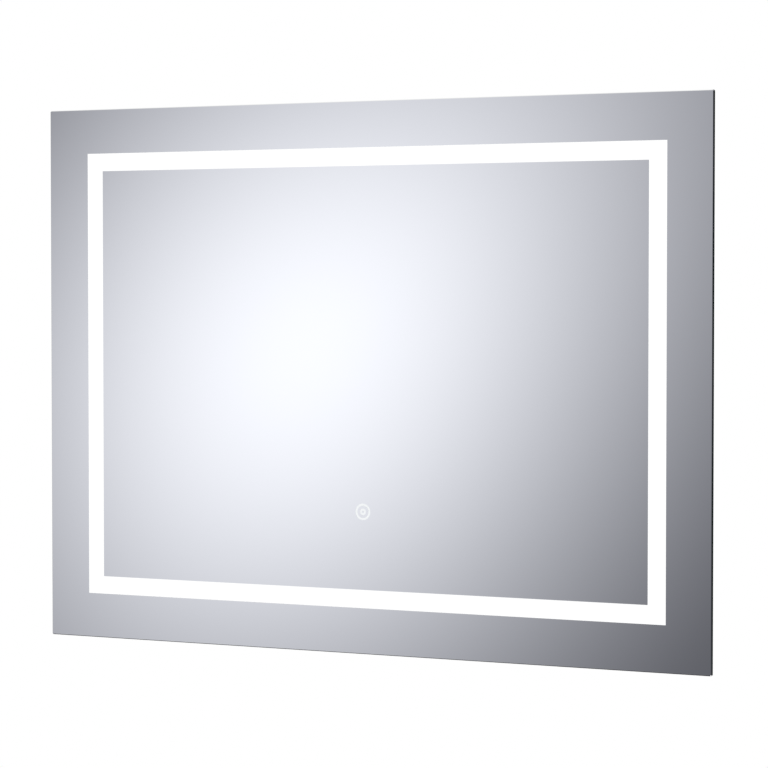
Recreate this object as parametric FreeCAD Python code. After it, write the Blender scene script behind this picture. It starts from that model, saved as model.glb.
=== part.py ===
import FreeCAD, Part
import math
import os

# Lighted wall mirror, in millimetres.
# X runs along the mirror, Y from the room to the wall, Z up. The wall's face is y = 0.
# The origin is the middle screw hole of the wall rail, on the wall.

Vector = FreeCAD.Vector

# ---- Driving dimensions ----

# Mirror pane
pane_width = 800
pane_height = 600
pane_thickness = 5
pane_corner_dub = 1
pane_arris = 0.7
rail_below_top = 115  # from the pane's top edge down to the rail's screw line

# Sandblasted light band and touch mark, in the pane's front face
band_inset = 50
band_width = 20
etch_depth = 0.2
mark_above_bottom = 155
mark_ring_diameter = 18
mark_ring_stroke = 2.4
mark_core_diameter = 7.2
mark_core_hole = 2.4

# Film, tape and sheet
film_thickness = 0.2
film_setback = 2
film_window_margin = 2
tape_thickness = 1
tape_margin = 0.7
plate_thickness = 1
plate_setback = 0.5
plate_corner_radius = 3

# Frame profile: key pocket at the back, light channel at the front
profile_wall = 1.5
profile_edge_radius = 1
foot_width = 8
channel_depth = 14
channel_overlap = 1.5  # the channel is this much wider than the band, each side
snap_groove_depth = 0.6
snap_groove_height = 1.2
snap_groove_start = 2
pocket_behind_channel = 4.2
mitre_gap = 0.05
fit_gap = 0.15
cutter_margin = 1  # how far the mitre cut runs past a section

# Corner keys
key_width = 10.5
key_thickness = 3
key_leg = 38
key_lead_in = 1.5

# Diffuser, a snap-in channel cover
diffuser_wall = 1
diffuser_skirt = 6
diffuser_setback = 0.3
snap_height = 0.45

# LED strips
board_width = 10
board_thickness = 0.8
led_pitch = 33.3
led_length = 3.5
led_width = 2.8
led_height = 0.9
led_end_margin = 9
link_leg = 14

# Wall rail and hanging cleat, two hooked profiles
hook_thickness = 2
hook_clearance = 0.3
hook_depth = 12
hook_engagement = 10
hook_chamfer = 0.5
rail_length = 460
rail_foot = 10
rail_head = 7
rail_hole_spacing = 200
rail_hole_count = 3
rail_hole_diameter = 5.5
cleat_length = 520
cleat_flange = 20

# Fasteners
small_flats = 8  # small turned pieces and leads are drawn with this many flats
grommet_flats = 16
screw_diameter = 3.5
screw_head_diameter = 7
screw_head_height = 2.2
screw_clearance = 0.1  # radial
screw_pitch = 420
screw_corner_margin = 60
rivet_diameter = 3.2
rivet_head_diameter = 6.5
rivet_head_height = 1
rivet_bulb_diameter = 4.8
rivet_bulb_height = 3
rivet_count = 5
rivet_end_margin = 20

# Back plate pressings
bead_width = 14
bead_height = 2.5
bead_slope = 2
bead_length = 330
bead_beyond_driver = 30
bead_below_middle = 20
vent_width = 3
vent_length = 24
vent_pitch = 9
vent_count = 8

# Cable entry
entry_bore = 8.4
entry_neck = 14
entry_flange = 20
entry_flange_thickness = 1.8
entry_clearance = 0.1
entry_below_box = 46

# Driver
driver_length = 150
driver_width = 42
driver_base_height = 13
driver_cover_height = 7
driver_edge_radius = 2
driver_foot_length = 12
driver_foot_height = 4
driver_from_middle = 65  # right foot's end, to the left of the mirror's middle
driver_above_middle = 70
driver_lead_offset = 15
collar_wall = 1.5
collar_length = 5

# Junction box
box_length = 84
box_width = 52
box_height = 20
box_wall = 2
box_corner_radius = 4
box_from_middle = 75
box_lid_thickness = 2
box_post_diameter = 7
box_screw_length = 6
box_screw_spacing = 42
gland_hex = 15
gland_hex_length = 5
gland_cap_diameter = 13
gland_cap_length = 9
gland_from_middle = 14
terminal_length = 30
terminal_width = 18
terminal_height = 12
terminal_ways = 3
terminal_bore = 3.6
terminal_notch = 1

# Demister
demister_thickness = 0.4
demister_from_frame = 118
demister_above_mark = 32
demister_corner_radius = 12
joint_length = 30
joint_width = 16
joint_height = 5

# Touch sensor, behind the mark
sensor_pad_thickness = 0.5
sensor_board_length = 34
sensor_board_width = 26
sensor_board_thickness = 1.2
sensor_cover_wall = 1.5
sensor_cover_height = 9
sensor_clearance = 0.3

# Leads
mains_lead_diameter = 6
small_lead_diameter = 3
lead_height = 5.5  # over the back plate
lead_clearance = 0.2
lead_exit = 38  # straight stretch out of a box
lead_tuck = 4  # length inside a terminal or a cover
led_lead_rise = 60
led_lead_beyond_bead = 10.4
feed_margin = 1  # from the corner link's end to the LED lead
sensor_lead_drop = 85
demister_lead_sag = 22
bend_share = 0.45
clip_length = 8
clip_wall = 1.5
clip_slot_share = 0.6

# Earth point
stud_diameter = 4
stud_length = 10
stud_collar_diameter = 8
stud_collar_height = 1.5
nut_across_flats = 7
nut_height = 3.2
stud_right_of_box = 50
eyelet_diameter = 8
eyelet_thickness = 1
eyelet_barrel = 4.4
eyelet_barrel_length = 7

# Wall bumpers
bumper_diameter = 18
bumper_tip_diameter = 14
bumper_from_side = 100
bumper_from_bottom = 65

# ---- Places worked out from them ----

pane_top = rail_below_top
pane_bottom = pane_top - pane_height
pane_middle = (pane_top + pane_bottom) / 2
pane_side = pane_width / 2

# Layers, from the wall out into the room
hook_gap = hook_thickness + 2 * hook_clearance
rail_front = -(hook_gap + hook_thickness)
cleat_back = rail_front - hook_clearance
plate_back = cleat_back - hook_thickness
plate_front = plate_back - plate_thickness
pocket_height = key_thickness + 2 * fit_gap
pocket_start = channel_depth + profile_wall + pocket_behind_channel
frame_depth = pocket_start + pocket_height + 2 * profile_wall
frame_front = plate_front - frame_depth
tape_front = frame_front - tape_thickness
pane_back = tape_front - film_thickness
pane_front = pane_back - pane_thickness
film_back = tape_front

# Frame section, inward from the pane's edge
channel_width = band_width + 2 * channel_overlap
band_centre = band_inset + band_width / 2
channel_outer = band_centre - channel_width / 2
channel_inner = band_centre + channel_width / 2
pocket_width = key_width + 2 * fit_gap
frame_outer = channel_outer - pocket_width - profile_wall
frame_inner = channel_inner + profile_wall + foot_width
screw_line = frame_outer + profile_wall + pocket_width / 2
screw_hole = screw_diameter + 2 * screw_clearance
plate_screw_length = plate_thickness + profile_wall + pocket_height - fit_gap
channel_floor = frame_front + channel_depth
board_front = channel_floor - board_thickness

# Hooks
web_top = rail_head + hook_thickness
rail_top = web_top + hook_depth
cleat_tip = rail_top - hook_engagement
cleat_web_top = rail_top + hook_thickness
cleat_top = cleat_web_top + cleat_flange
rivet_height = cleat_web_top + cleat_flange / 2

# Rows of inner parts
service_row = pane_middle + driver_above_middle
mark_centre = pane_bottom + mark_above_bottom
driver_right = -driver_from_middle
driver_left = driver_right - driver_length
box_left = box_from_middle
box_right = box_left + box_length
box_bottom = service_row - box_width / 2
box_middle = (box_left + box_right) / 2
gland_x = box_middle - gland_from_middle
entry_height = box_bottom - entry_below_box
bead_x = bead_beyond_driver - driver_left
lead_layer = plate_front - lead_height
small_radius = small_lead_diameter / 2
terminal_front = plate_front - box_wall - terminal_height
terminal_pitch = terminal_length / terminal_ways
terminal_layer = plate_front - box_wall - terminal_height / 3
demister_side = pane_side - frame_inner - demister_from_frame
demister_bottom = mark_centre + demister_above_mark
demister_top = pane_top - frame_inner - demister_from_frame / 2
joint_right = demister_side - demister_corner_radius
joint_top = demister_bottom + demister_corner_radius + joint_width

# Each side of the mirror: turn about Y, middle of the pane's edge, length
sides = {
    "bottom": (0, Vector(0, 0, pane_bottom), pane_width),
    "right": (-90, Vector(pane_side, 0, pane_middle), pane_height),
    "top": (180, Vector(0, 0, pane_top), pane_width),
    "left": (90, Vector(-pane_side, 0, pane_middle), pane_height),
}
corners = [(1, 1), (1, -1), (-1, -1), (-1, 1)]  # signs of x and z, clockwise from top right
feed_corner = (-1, 1)


# ---- Building blocks ----

def block(x0, x1, y0, y1, z0, z1):
    return Part.makeBox(x1 - x0, y1 - y0, z1 - z0, Vector(x0, y0, z0))


def prism(points, sweep):
    return Part.Face(Part.makePolygon(points + points[:1])).extrude(sweep)


def regular_outline(centre, axis, diameter, flats=small_flats):
    """Closed regular outline square to an axis, measured over its corners."""
    across = Vector(0, 0, 1) if abs(axis.z) < 0.5 else Vector(1, 0, 0)
    corner = axis.cross(across).normalize() * (diameter / 2)
    points = [centre + FreeCAD.Rotation(axis, 360 * i / flats).multVec(corner) for i in range(flats)]
    return Part.makePolygon(points + points[:1])


def flat_rod(centre, axis, diameter, length, flats=small_flats):
    """Rod or hole drawn with flats."""
    return Part.Face(regular_outline(centre, axis, diameter, flats)).extrude(axis * length)


def flat_turned(profile, x, z, flats=small_flats):
    """Small turned piece drawn with flats, from (radius, y) points along its outside."""
    axis = Vector(0, 1, 0)
    slices = []
    for (radius, y), (next_radius, next_y) in zip(profile, profile[1:]):
        if y != next_y:
            rings = [
                regular_outline(Vector(x, y, z), axis, 2 * radius, flats),
                regular_outline(Vector(x, next_y, z), axis, 2 * next_radius, flats),
            ]
            slices.append(Part.makeLoft(rings, True, True))
    return slices[0].multiFuse(slices[1:]).removeSplitter()


def rod(centre, axis, diameter, length):
    return Part.makeCylinder(diameter / 2, length, centre, axis)


def turned(profile, x, z):
    """Solid of revolution about the Y line through (x, z), from (radius, y) points."""
    points = [Vector(x + radius, y, z) for radius, y in profile]
    face = Part.Face(Part.makePolygon(points + points[:1]))
    return face.revolve(Vector(x, 0, z), Vector(0, 1, 0), 360)


def hexagon(centre, axis, across_flats, height):
    return flat_rod(centre, axis, across_flats * 2 / math.sqrt(3), height, 6)


def rounded_plate(x0, x1, y0, y1, z0, z1, radius):
    """Sheet in the XZ plane with rounded corners."""
    sheet = block(x0, x1, y0, y1, z0, z1)
    return sheet.makeFillet(radius, edges_along(sheet, Vector(0, 1, 0)))


def edges_along(shape, direction):
    """Straight edges that run along a direction."""
    return [
        edge for edge in shape.Edges
        if abs(abs(edge.tangentAt(edge.FirstParameter).dot(direction)) - 1) < 1e-6
    ]


def edges_in_plane(shape, y):
    """Edges that lie at one depth."""
    return [
        edge for edge in shape.Edges
        if abs(edge.BoundBox.YMin - y) < 1e-6 and abs(edge.BoundBox.YMax - y) < 1e-6
    ]


def loop(inset, width, y0, y1):
    """Rectangular loop at an inset from the pane's edge."""
    inner = inset + width
    outside = block(inset - pane_side, pane_side - inset, y0, y1, pane_bottom + inset, pane_top - inset)
    inside = block(inner - pane_side, pane_side - inner, y0, y1, pane_bottom + inner, pane_top - inner)
    return outside.cut(inside)


def on_side(shape, side):
    """Turn a shape built along the bottom edge on to another side."""
    turn, edge_middle, _ = sides[side]
    placed = shape.copy()
    placed.Placement = FreeCAD.Placement(edge_middle, FreeCAD.Rotation(Vector(0, 1, 0), turn))
    return placed


def mitred_bar(section, length):
    """Run a section of (inset, y) points along a side, its ends cut on the pane's diagonals."""
    half = length / 2
    reach = max(inset for inset, _ in section) + cutter_margin
    near = min(y for _, y in section)
    far = max(y for _, y in section)
    bar = prism([Vector(-half, y, inset) for inset, y in section], Vector(length, 0, 0))
    wide = half - mitre_gap
    trapezoid = [
        Vector(-wide, near, 0),
        Vector(wide, near, 0),
        Vector(wide - reach, near, reach),
        Vector(reach - wide, near, reach),
    ]
    return bar.common(prism(trapezoid, Vector(0, far - near, 0)))


def evenly(first, last, pitch):
    """Places from first to last, no further apart than the pitch."""
    spaces = max(1, math.ceil((last - first) / pitch))
    return [first + (last - first) * i / spaces for i in range(spaces + 1)]


def rounded_path(points):
    """Straight runs joined by tangent arcs as large as the shorter run allows."""
    edges = []
    start = points[0]
    radii = []
    for before, corner, after in zip(points, points[1:], points[2:]):
        back = before - corner
        ahead = after - corner
        half_turn = (math.pi - back.getAngle(ahead)) / 2
        reach = bend_share * min(back.Length, ahead.Length)
        radius = reach / math.tan(half_turn)
        back.normalize()
        ahead.normalize()
        inward = (back + ahead).normalize()
        middle = corner + inward * (radius / math.cos(half_turn) - radius)
        entry = corner + back * reach
        leave = corner + ahead * reach
        edges.append(Part.LineSegment(start, entry).toShape())
        edges.append(Part.Arc(entry, middle, leave).toShape())
        start = leave
        radii.append(radius)
    edges.append(Part.LineSegment(start, points[-1]).toShape())
    return Part.Wire(edges), radii


def lead(name, points, diameter):
    path, radii = rounded_path(points)
    ring = regular_outline(points[0], (points[1] - points[0]).normalize(), diameter)
    tube = Part.Solid(path.makePipeShell([ring], True, False))
    print(name, "bend radii", [round(radius, 1) for radius in radii])
    return tube


# ---- Mirror pane and what is bonded to it ----

def mirror_glass():
    pane = block(-pane_side, pane_side, pane_front, pane_back, pane_bottom, pane_top)
    pane = pane.makeChamfer(pane_corner_dub, edges_along(pane, Vector(0, 1, 0)))
    rims = edges_in_plane(pane, pane_front) + edges_in_plane(pane, pane_back)
    pane = pane.makeChamfer(pane_arris, rims)
    etched = [loop(band_inset, band_width, pane_front, pane_front + etch_depth)]
    for diameter, hole in mark_rings():
        etched.append(mark_ring(diameter, hole, pane_front, pane_front + etch_depth))
    return pane.cut(etched)


def mark_rings():
    """Outer and inner diameter of the touch mark's two rings."""
    return [
        (mark_ring_diameter, mark_ring_diameter - 2 * mark_ring_stroke),
        (mark_core_diameter, mark_core_hole),
    ]


def mark_ring(diameter, hole, y0, y1):
    foot = Vector(0, y0, mark_centre)
    axis = Vector(0, 1, 0)
    return rod(foot, axis, diameter, y1 - y0).cut(rod(foot, axis, hole, y1 - y0))


def safety_film():
    """Film behind the silvering, open behind the band and the mark."""
    sheet = block(
        film_setback - pane_side, pane_side - film_setback, pane_back, film_back,
        pane_bottom + film_setback, pane_top - film_setback,
    )
    window = rod(
        Vector(0, pane_back, mark_centre), Vector(0, 1, 0),
        mark_ring_diameter + 2 * film_window_margin, film_thickness,
    )
    return sheet.cut([loop(band_inset, band_width, pane_back, film_back), window])


def bonding_tape(side):
    """Two strips, one under the frame's front flange and one under its inner foot."""
    length = sides[side][2]
    faces = [(frame_outer, channel_outer), (channel_inner + profile_wall, frame_inner)]
    strips = []
    for outer, inner in faces:
        u0 = outer + tape_margin
        u1 = inner - tape_margin
        section = [(u0, tape_front), (u1, tape_front), (u1, frame_front), (u0, frame_front)]
        strips.append(mitred_bar(section, length))
    return on_side(Part.makeCompound(strips), side)


# ---- Frame ----

def frame_section():
    """Outline of the extrusion, from its outer front corner: front flange, light channel, inner foot,
    then the key pocket behind the channel, which is slotted at the back for the plate's screws."""
    groove_end = snap_groove_start + snap_groove_height
    floor_back = channel_depth + profile_wall
    lip = frame_depth - profile_wall
    pocket_floor = lip - pocket_height
    outer_wall = frame_outer + profile_wall
    outline = [
        (frame_outer, 0),
        (channel_outer, 0),
        (channel_outer, snap_groove_start),
        (channel_outer - snap_groove_depth, snap_groove_start),
        (channel_outer - snap_groove_depth, groove_end),
        (channel_outer, groove_end),
        (channel_outer, channel_depth),
        (channel_inner, channel_depth),
        (channel_inner, groove_end),
        (channel_inner + snap_groove_depth, groove_end),
        (channel_inner + snap_groove_depth, snap_groove_start),
        (channel_inner, snap_groove_start),
        (channel_inner, 0),
        (frame_inner, 0),
        (frame_inner, profile_wall),
        (channel_inner + profile_wall, profile_wall),
        (channel_inner + profile_wall, floor_back),
        (channel_outer - profile_wall, floor_back),
        (channel_outer - profile_wall, profile_wall),
        (outer_wall, profile_wall),
        (outer_wall, pocket_start),
        (channel_outer + profile_wall, pocket_start),
        (channel_outer + profile_wall, frame_depth),
        (screw_line + screw_hole / 2, frame_depth),
        (screw_line + screw_hole / 2, lip),
        (channel_outer, lip),
        (channel_outer, pocket_floor),
        (outer_wall, pocket_floor),
        (outer_wall, lip),
        (screw_line - screw_hole / 2, lip),
        (screw_line - screw_hole / 2, frame_depth),
        (frame_outer, frame_depth),
    ]
    return [(inset, frame_front + depth) for inset, depth in outline]


def frame_profile(side):
    length = sides[side][2]
    section = frame_section()
    half = length / 2
    bar = prism([Vector(-half, y, inset) for inset, y in section], Vector(length, 0, 0))
    outer_edges = [
        edge for edge in edges_along(bar, Vector(1, 0, 0))
        if abs(edge.CenterOfMass.z - frame_outer) < 1e-6
    ]
    bar = bar.makeFillet(profile_edge_radius, outer_edges)
    bar = on_side(bar.common(mitred_bar(envelope(section), length)), side)
    return bar.cut(feed_hole()) if side == "left" else bar


def envelope(section):
    """Rectangle round a section."""
    insets = [inset for inset, _ in section]
    depths = [y for _, y in section]
    low, high = min(depths), max(depths)
    return [(min(insets), low), (max(insets), low), (max(insets), high), (min(insets), high)]


def screw_places(length):
    end = length / 2 - frame_outer - screw_corner_margin
    return evenly(-end, end, screw_pitch)


def feed_point():
    """Where the LED lead meets the left board, near the mirror's top left corner."""
    x = band_centre - pane_side
    z = pane_top - band_centre - link_leg - small_radius - feed_margin
    return Vector(x, board_front - small_radius - lead_clearance / 2, z)


def feed_hole():
    """Hole for the LED lead through the channel's inner wall."""
    start = feed_point()
    start.x = channel_inner - pane_side - profile_wall / 2
    return flat_rod(start, Vector(1, 0, 0), small_lead_diameter + 2 * lead_clearance, 2 * profile_wall)


def corner_keys():
    """Flat angle pieces in the frame's back pockets."""
    back = plate_front - profile_wall - fit_gap
    outer = frame_outer + profile_wall + fit_gap
    inner = outer + key_width
    end = outer + key_leg
    outline = [
        (outer, outer),
        (end - key_lead_in, outer),
        (end, outer + key_lead_in),
        (end, inner - key_lead_in),
        (end - key_lead_in, inner),
        (inner, inner),
        (inner, end - key_lead_in),
        (inner - key_lead_in, end),
        (outer + key_lead_in, end),
        (outer, end - key_lead_in),
    ]
    return Part.makeCompound([
        in_corner(outline, corner, back - key_thickness, key_thickness) for corner in corners
    ])


def in_corner(outline, corner, y, thickness):
    """Plate from points measured inward from one corner of the pane."""
    x_sign, z_sign = corner
    points = [
        Vector(x_sign * (pane_side - across), y, pane_middle + z_sign * (pane_height / 2 - down))
        for across, down in outline
    ]
    return prism(points, Vector(0, thickness, 0))


# ---- Light ----

def led_strip(side):
    """Flexible board on the channel's floor, with its LEDs facing the band."""
    half = sides[side][2] / 2 - band_centre - link_leg - mitre_gap
    low = band_centre - board_width / 2
    board = block(-half, half, board_front, channel_floor, low, low + board_width)
    leds = [
        block(
            x - led_length / 2, x + led_length / 2, board_front - led_height, board_front,
            band_centre - led_width / 2, band_centre + led_width / 2,
        )
        for x in evenly(led_end_margin - half, half - led_end_margin, led_pitch)
    ]
    return on_side(board.multiFuse(leds), side)


def strip_links():
    """Angle-shaped boards that join the strips at three corners. The fourth is fed by the driver."""
    outer = band_centre - board_width / 2
    inner = band_centre + board_width / 2
    end = band_centre + link_leg
    outline = [(outer, outer), (end, outer), (end, inner), (inner, inner), (inner, end), (outer, end)]
    return Part.makeCompound([
        in_corner(outline, corner, board_front, board_thickness)
        for corner in corners if corner != feed_corner
    ])


def diffuser(side):
    """Opal cover whose skirts snap into the channel's grooves."""
    front = frame_front + diffuser_setback
    face_back = front + diffuser_wall
    skirt_end = front + diffuser_skirt
    outer = channel_width / 2 - fit_gap
    inner = outer - diffuser_wall
    snap_front = frame_front + snap_groove_start + fit_gap
    snap_back = frame_front + snap_groove_start + snap_groove_height - fit_gap
    half_outline = [
        (outer, front),
        (outer, snap_front),
        (outer + snap_height, snap_front),
        (outer + snap_height, (snap_front + snap_back) / 2),
        (outer, snap_back),
        (outer, skirt_end),
        (inner, skirt_end),
        (inner, face_back),
    ]
    right = [(band_centre + across, y) for across, y in half_outline]
    left = [(band_centre - across, y) for across, y in reversed(half_outline)]
    return on_side(mitred_bar(right + left, sides[side][2]), side)


# ---- Back plate and what is fastened to it ----

def bead(x, z, width, y_base, height):
    """Long pressed bead with sloping sides."""
    def outline(y, shrink):
        half_width = width / 2 - shrink
        half_length = bead_length / 2 - shrink
        return Part.makePolygon([
            Vector(x - half_width, y, z - half_length + half_width),
            Vector(x, y, z - half_length),
            Vector(x + half_width, y, z - half_length + half_width),
            Vector(x + half_width, y, z + half_length - half_width),
            Vector(x, y, z + half_length),
            Vector(x - half_width, y, z + half_length - half_width),
            Vector(x - half_width, y, z - half_length + half_width),
        ])
    return Part.makeLoft([outline(y_base, 0), outline(y_base - height, bead_slope)], True, True)


def plate_screw_places():
    """(x, z) of each screw that holds the plate to the frame."""
    places = []
    for side in sides:
        for x in screw_places(sides[side][2]):
            point = sides_point(side, x, screw_line)
            places.append((point.x, point.z))
    return places


def sides_point(side, along, inset):
    turn, edge_middle, _ = sides[side]
    return edge_middle + FreeCAD.Rotation(Vector(0, 1, 0), turn).multVec(Vector(along, 0, inset))


def driver_screw_places():
    ends = (driver_left + driver_foot_length / 2, driver_right - driver_foot_length / 2)
    return [(x, service_row) for x in ends]


def box_screw_places():
    reach = box_screw_spacing / 2
    return [(box_middle - reach, service_row), (box_middle + reach, service_row)]


def rivet_places():
    end = cleat_length / 2 - rivet_end_margin
    return [(-end + 2 * end * i / (rivet_count - 1), rivet_height) for i in range(rivet_count)]


def earth_place():
    return box_right + stud_right_of_box, service_row


def vent_places():
    """Slots above the driver and above the junction box."""
    row = service_row + box_width / 2 + vent_length
    offsets = [vent_pitch * (i - (vent_count - 1) / 2) for i in range(vent_count)]
    middles = ((driver_left + driver_right) / 2, box_middle)
    return [(middle + offset, row) for middle in middles for offset in offsets]


def back_plate():
    reach = frame_outer + plate_setback
    sheet = rounded_plate(
        reach - pane_side, pane_side - reach, plate_front, plate_back,
        pane_bottom + reach, pane_top - reach, plate_corner_radius,
    )
    bead_middle = pane_middle - bead_below_middle
    for x in (-bead_x, bead_x):
        sheet = sheet.fuse(bead(x, bead_middle, bead_width, plate_front, bead_height))
        groove = bead_width - 2 * plate_thickness
        sheet = sheet.cut(bead(x, bead_middle, groove, plate_back, bead_height))
    through = 3 * plate_thickness
    holes = [
        (place, screw_hole)
        for place in plate_screw_places() + driver_screw_places() + box_screw_places()
    ]
    holes += [(place, rivet_diameter + 2 * screw_clearance) for place in rivet_places()]
    holes.append((earth_place(), stud_diameter + 2 * screw_clearance))
    cutters = [
        flat_rod(Vector(x, plate_front - plate_thickness, z), Vector(0, 1, 0), diameter, through)
        for (x, z), diameter in holes
    ]
    cutters.append(flat_rod(
        Vector(gland_x, plate_front, entry_height), Vector(0, 1, 0),
        entry_neck + 2 * entry_clearance, plate_thickness, grommet_flats,
    ))
    half_width = vent_width / 2
    half_length = vent_length / 2
    cutters += [
        block(x - half_width, x + half_width, plate_front, plate_back, z - half_length, z + half_length)
        for x, z in vent_places()
    ]
    return sheet.cut(cutters)


def pan_screw(x, z, seat, length):
    """Screw put in from the wall's side, its head on the seat."""
    shank = screw_diameter / 2
    head = screw_head_diameter / 2
    crown = seat + screw_head_height
    profile = [
        (head - screw_head_height / 3, crown),
        (head, crown - screw_head_height / 2),
        (head, seat),
        (shank, seat),
        (shank, seat - length),
    ]
    return flat_turned(profile, x, z)


def plate_screws():
    return Part.makeCompound([
        pan_screw(x, z, plate_back, plate_screw_length) for x, z in plate_screw_places()
    ])


def cable_grommet():
    """Rubber ring in the plate's cable hole."""
    inner_face = plate_front - entry_flange_thickness
    outer_face = plate_back + entry_flange_thickness
    neck = entry_neck / 2
    flange = entry_flange / 2
    soft_edge = entry_flange_thickness / 3
    profile = [
        (flange - soft_edge, inner_face),
        (flange, inner_face + soft_edge),
        (flange, plate_front),
        (neck, plate_front),
        (neck, plate_back),
        (flange, plate_back),
        (flange, outer_face - soft_edge),
        (flange - soft_edge, outer_face),
    ]
    ring = flat_turned(profile, gland_x, entry_height, grommet_flats)
    mouth = Vector(gland_x, inner_face, entry_height)
    return ring.cut(rod(mouth, Vector(0, 1, 0), entry_bore, outer_face - inner_face))


def wall_bumpers():
    """Two rubber buttons that keep the mirror's foot off the wall."""
    base = bumper_diameter / 2
    tip = bumper_tip_diameter / 2
    profile = [(0, plate_back), (base, plate_back), (tip, 0), (0, 0)]
    height = pane_bottom + bumper_from_bottom
    reach = pane_side - bumper_from_side
    return Part.makeCompound([turned(profile, x, height) for x in (-reach, reach)])


# ---- Hooks ----

def wall_rail():
    """Profile screwed to the wall, with a lip that stands up in front of it."""
    section = [
        (0, -rail_foot),
        (-hook_thickness, -rail_foot),
        (-hook_thickness, rail_head),
        (rail_front, rail_head),
        (rail_front, rail_top - hook_chamfer),
        (rail_front + hook_chamfer, rail_top),
        (-hook_gap - hook_chamfer, rail_top),
        (-hook_gap, rail_top - hook_chamfer),
        (-hook_gap, web_top),
        (0, web_top),
    ]
    half = rail_length / 2
    rail = prism([Vector(-half, y, z) for y, z in section], Vector(rail_length, 0, 0))
    first = -rail_hole_spacing * (rail_hole_count - 1) / 2
    holes = [
        rod(Vector(first + i * rail_hole_spacing, -hook_thickness, 0), Vector(0, 1, 0),
            rail_hole_diameter, hook_thickness)
        for i in range(rail_hole_count)
    ]
    return rail.cut(holes)


def hanging_cleat():
    """Profile on the mirror's back, with a lip that hangs behind the rail's."""
    lip_back = -hook_clearance
    lip_front = lip_back - hook_thickness
    section = [
        (plate_back, rail_top),
        (lip_front, rail_top),
        (lip_front, cleat_tip + hook_chamfer),
        (lip_front + hook_chamfer, cleat_tip),
        (lip_back - hook_chamfer, cleat_tip),
        (lip_back, cleat_tip + hook_chamfer),
        (lip_back, cleat_web_top),
        (cleat_back, cleat_web_top),
        (cleat_back, cleat_top),
        (plate_back, cleat_top),
    ]
    half = cleat_length / 2
    cleat = prism([Vector(-half, y, z) for y, z in section], Vector(cleat_length, 0, 0))
    holes = [
        flat_rod(
            Vector(x, plate_back, z), Vector(0, 1, 0), rivet_diameter + 2 * screw_clearance, hook_thickness
        )
        for x, z in rivet_places()
    ]
    return cleat.cut(holes)


def cleat_rivets():
    """Blind rivets through the cleat and the plate."""
    body = rivet_diameter / 2
    head = rivet_head_diameter / 2
    bulb = rivet_bulb_diameter / 2
    crown = cleat_back + rivet_head_height
    tail = plate_front - rivet_bulb_height
    profile = [
        (head / 2, crown),
        (head, cleat_back),
        (body, cleat_back),
        (body, plate_front),
        (bulb, plate_front),
        (body, tail),
    ]
    return Part.makeCompound([flat_turned(profile, x, z) for x, z in rivet_places()])


# ---- Driver ----

def driver_base():
    """Lower half of the driver's case, with a screw foot at each end."""
    low = service_row - driver_width / 2
    high = service_row + driver_width / 2
    top = plate_front - driver_base_height
    body = block(
        driver_left + driver_foot_length, driver_right - driver_foot_length, top, plate_front, low, high
    )
    body = body.makeFillet(driver_edge_radius, edges_along(body, Vector(0, 1, 0)))
    foot = block(
        driver_left, driver_right, plate_front - driver_foot_height, plate_front,
        service_row - driver_width / 4, service_row + driver_width / 4,
    )
    foot = foot.makeChamfer(driver_edge_radius, edges_along(foot, Vector(0, 1, 0)))
    ends = driver_lead_ends()
    collars = [
        flat_rod(end, direction, diameter + 2 * (collar_wall + lead_clearance), collar_length)
        for end, direction, diameter in ends
    ]
    bores = [
        flat_rod(end, direction, diameter + 2 * lead_clearance, collar_length)
        for end, direction, diameter in ends
    ]
    pilots = [
        flat_rod(
            Vector(x, plate_front - driver_foot_height, z), Vector(0, 1, 0), screw_hole, driver_foot_height
        )
        for x, z in driver_screw_places()
    ]
    return body.multiFuse([foot] + collars).removeSplitter().cut(bores + pilots)


def driver_lead_ends():
    """Where the mains, LED and sensor leads meet the case: point, outward direction, diameter."""
    right = driver_right - driver_foot_length
    left = driver_left + driver_foot_length
    upper = service_row + driver_lead_offset
    lower = service_row - driver_lead_offset
    return [
        (Vector(right, lead_layer, upper), Vector(1, 0, 0), mains_lead_diameter),
        (Vector(left, lead_layer, upper), Vector(-1, 0, 0), small_lead_diameter),
        (Vector(left, lead_layer, lower), Vector(-1, 0, 0), small_lead_diameter),
    ]


def driver_cover():
    low = service_row - driver_width / 2
    high = service_row + driver_width / 2
    seat = plate_front - driver_base_height
    top = seat - driver_cover_height
    cover = block(
        driver_left + driver_foot_length, driver_right - driver_foot_length, top, seat, low, high
    )
    cover = cover.makeFillet(driver_edge_radius, edges_along(cover, Vector(0, 1, 0)))
    return cover.makeChamfer(driver_edge_radius / 2, edges_in_plane(cover, top))


# ---- Junction box ----

def junction_box():
    """Open tray with two lid posts and holes for its gland and leads."""
    top = plate_front - box_height
    low = service_row - box_width / 2
    high = service_row + box_width / 2
    tray = rounded_plate(box_left, box_right, top, plate_front, low, high, box_corner_radius)
    hollow = rounded_plate(
        box_left + box_wall, box_right - box_wall, top, plate_front - box_wall,
        low + box_wall, high - box_wall, box_corner_radius - box_wall,
    )
    tray = tray.cut(hollow)
    towards_wall = Vector(0, 1, 0)
    tray = tray.multiFuse([
        flat_rod(Vector(x, top, z), towards_wall, box_post_diameter, box_height)
        for x, z in lid_screw_places()
    ])
    cutters = [
        flat_rod(Vector(x, top, z), towards_wall, screw_hole, box_screw_length)
        for x, z in lid_screw_places()
    ]
    cutters += [
        flat_rod(Vector(x, plate_front - box_wall, z), towards_wall, screw_hole, box_wall)
        for x, z in box_screw_places()
    ]
    wall_holes = [
        (end, direction, diameter + 2 * lead_clearance) for end, direction, diameter in box_lead_ends()
    ]
    wall_holes.append((gland_seat(), Vector(0, 0, -1), entry_bore))
    cutters += [
        flat_rod(end - direction * (1.5 * box_wall), direction, diameter, 2 * box_wall)
        for end, direction, diameter in wall_holes
    ]
    return tray.cut(cutters).removeSplitter()


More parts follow.
